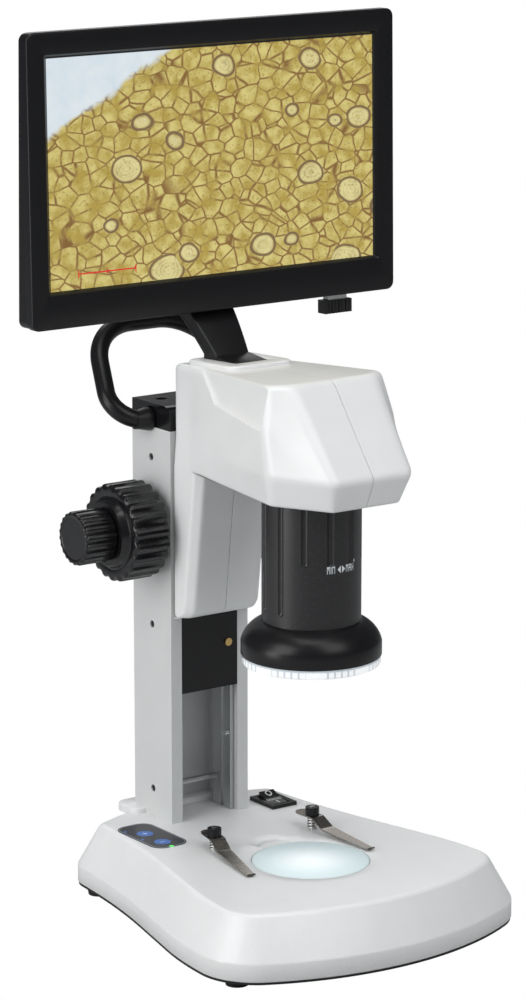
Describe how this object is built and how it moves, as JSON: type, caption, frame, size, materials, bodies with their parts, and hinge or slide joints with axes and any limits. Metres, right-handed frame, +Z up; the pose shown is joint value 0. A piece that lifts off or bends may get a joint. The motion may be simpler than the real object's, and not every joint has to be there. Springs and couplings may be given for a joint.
{
  "type": "lcd digital microscope",
  "caption": "Desk microscope with a tilting screen on a rack-and-pinion head, a zoom barrel with a light ring, stage clips and a folding carrying handle.",
  "frame": {"origin": "on the table, midway between the base's front edge and the back of the carrying handle, on the centre line", "axes": "+X to the object's right as seen from the user, +Y towards the back, +Z up"},
  "size_m": [0.2234, 0.2381, 0.4554],
  "materials": {
    "white_shell": "satin white moulding",
    "black_plastic": "fine matt grain",
    "knob_rubber": "firm black grip",
    "foot_rubber": "matt",
    "column_coat": "pale grey satin coat",
    "rail_metal": "drawn",
    "steel": "bright",
    "spring_steel": "blued spring steel",
    "brass": "turned",
    "stage_glass": "frosted",
    "clear_plastic": "clear moulding",
    "lens_glass": "coated",
    "membrane": "printed film",
    "screen": "display glass",
    "board": "solder mask",
    "lamp": "lamp resin",
    "red_lamp": "red lamp"
  },
  "bodies": {
    "base": {"base_housing": "white_shell", "bottom_plate": "black_plastic", "rubber_feet": "foot_rubber", "base_screws": "steel", "light_board": "board", "stage_leds": "lamp", "touch_panel": "membrane", "switch_frame": "black_plastic", "control_board": "board", "power_jack": "black_plastic", "clip_springs": "spring_steel", "clip_studs": "steel", "column_profile": "column_coat", "guide_rails": "rail_metal", "tie_rods": "steel", "stop_pin": "steel", "column_screws": "steel", "column_cap": "black_plastic", "handle_screws": "steel", "shaft_bushes": "black_plastic"},
    "stage": {"stage_plate": "stage_glass"},
    "rocker": {"switch_rocker": "black_plastic"},
    "clip_left_arm": {"clip_left": "spring_steel"},
    "clip_right_arm": {"clip_right": "spring_steel"},
    "clip_nut_left": {"clip_knob_left": "black_plastic"},
    "clip_nut_right": {"clip_knob_right": "black_plastic"},
    "handle": {"carry_handle": "black_plastic"},
    "coarse_drive": {"pinion_shaft": "steel", "coarse_knobs": "knob_rubber"},
    "fine_drive": {"fine_shaft": "steel", "fine_knobs": "knob_rubber"},
    "head": {"slide_plate": "black_plastic", "slide_block": "rail_metal", "gear_rack": "steel", "slide_screw": "brass", "head_frame": "steel", "head_screws": "steel", "head_shell_left": "white_shell", "head_shell_right": "white_shell", "arm_collar": "white_shell", "monitor_arm": "black_plastic", "hinge_pin": "steel", "camera_barrel": "black_plastic", "bell_skirt": "black_plastic", "light_ring": "clear_plastic", "led_ring_board": "board", "ring_leds": "lamp", "lens_cell": "black_plastic", "objective_lens": "lens_glass", "sensor_board": "board"},
    "zoom": {"zoom_ring": "knob_rubber"},
    "monitor": {"front_bezel": "black_plastic", "power_led": "red_lamp", "lcd_panel": "screen", "rear_shell": "black_plastic", "monitor_board": "board", "usb_socket": "steel", "monitor_screws": "steel"},
    "usb_stick": {"usb_plug": "steel", "usb_cap": "black_plastic"}
  },
  "joints": [
    {"name": "head_slide", "type": "slide", "parent": "base", "child": "head", "axis": [0, 0, 1], "range_m": [-0.02, 0.026]},
    {"name": "coarse_turn", "type": "hinge", "parent": "base", "child": "coarse_drive", "pos_m": [0, 0.0715, 0.1936], "axis": [1, 0, 0], "range_deg": [-312, 240]},
    {"name": "fine_turn", "type": "hinge", "parent": "coarse_drive", "child": "fine_drive", "pos_m": [0, 0.0715, 0.1936], "axis": [1, 0, 0], "range_deg": [-720, 720]},
    {"name": "monitor_tilt", "type": "hinge", "parent": "head", "child": "monitor", "pos_m": [0, 0.062, 0.321], "axis": [-1, 0, 0], "range_deg": [0, 30]},
    {"name": "usb_pull", "type": "slide", "parent": "monitor", "child": "usb_stick", "axis": [0, -0.0175, -0.9998], "range_m": [0, 0.016]},
    {"name": "zoom_turn", "type": "hinge", "parent": "head", "child": "zoom", "pos_m": [0, -0.0355, 0.177], "axis": [0, 0, 1], "range_deg": [0, 26.4]},
    {"name": "handle_fold", "type": "hinge", "parent": "base", "child": "handle", "pos_m": [0, 0.0729, 0.2506], "axis": [1, 0, 0], "range_deg": [-95, 15]},
    {"name": "switch_rock", "type": "hinge", "parent": "base", "child": "rocker", "pos_m": [0.041, 0.0542, 0.0375], "axis": [1, 0, 0], "range_deg": [-28, 0]},
    {"name": "clip_left_swing", "type": "hinge", "parent": "base", "child": "clip_left_arm", "pos_m": [-0.031, 0.0055, 0.0442], "axis": [0, 0, 1], "range_deg": [-35, 50]},
    {"name": "clip_right_swing", "type": "hinge", "parent": "base", "child": "clip_right_arm", "pos_m": [0.031, 0.0055, 0.0442], "axis": [0, 0, 1], "range_deg": [-40, 40]},
    {"name": "clip_nut_left_turn", "type": "hinge", "parent": "base", "child": "clip_nut_left", "pos_m": [-0.031, 0.0055, 0.047], "axis": [0, 0, 1], "range_deg": [-180, 180]},
    {"name": "clip_nut_right_turn", "type": "hinge", "parent": "base", "child": "clip_nut_right", "pos_m": [0.031, 0.0055, 0.047], "axis": [0, 0, 1], "range_deg": [-180, 180]},
    {"name": "stage_lift", "type": "slide", "parent": "base", "child": "stage", "axis": [0, 0, 1], "range_m": [0, 0.012]}
  ],
  "couplings": [
    {"joint": "coarse_turn", "follows": "head_slide", "rad_per_m": -208.33}
  ]
}
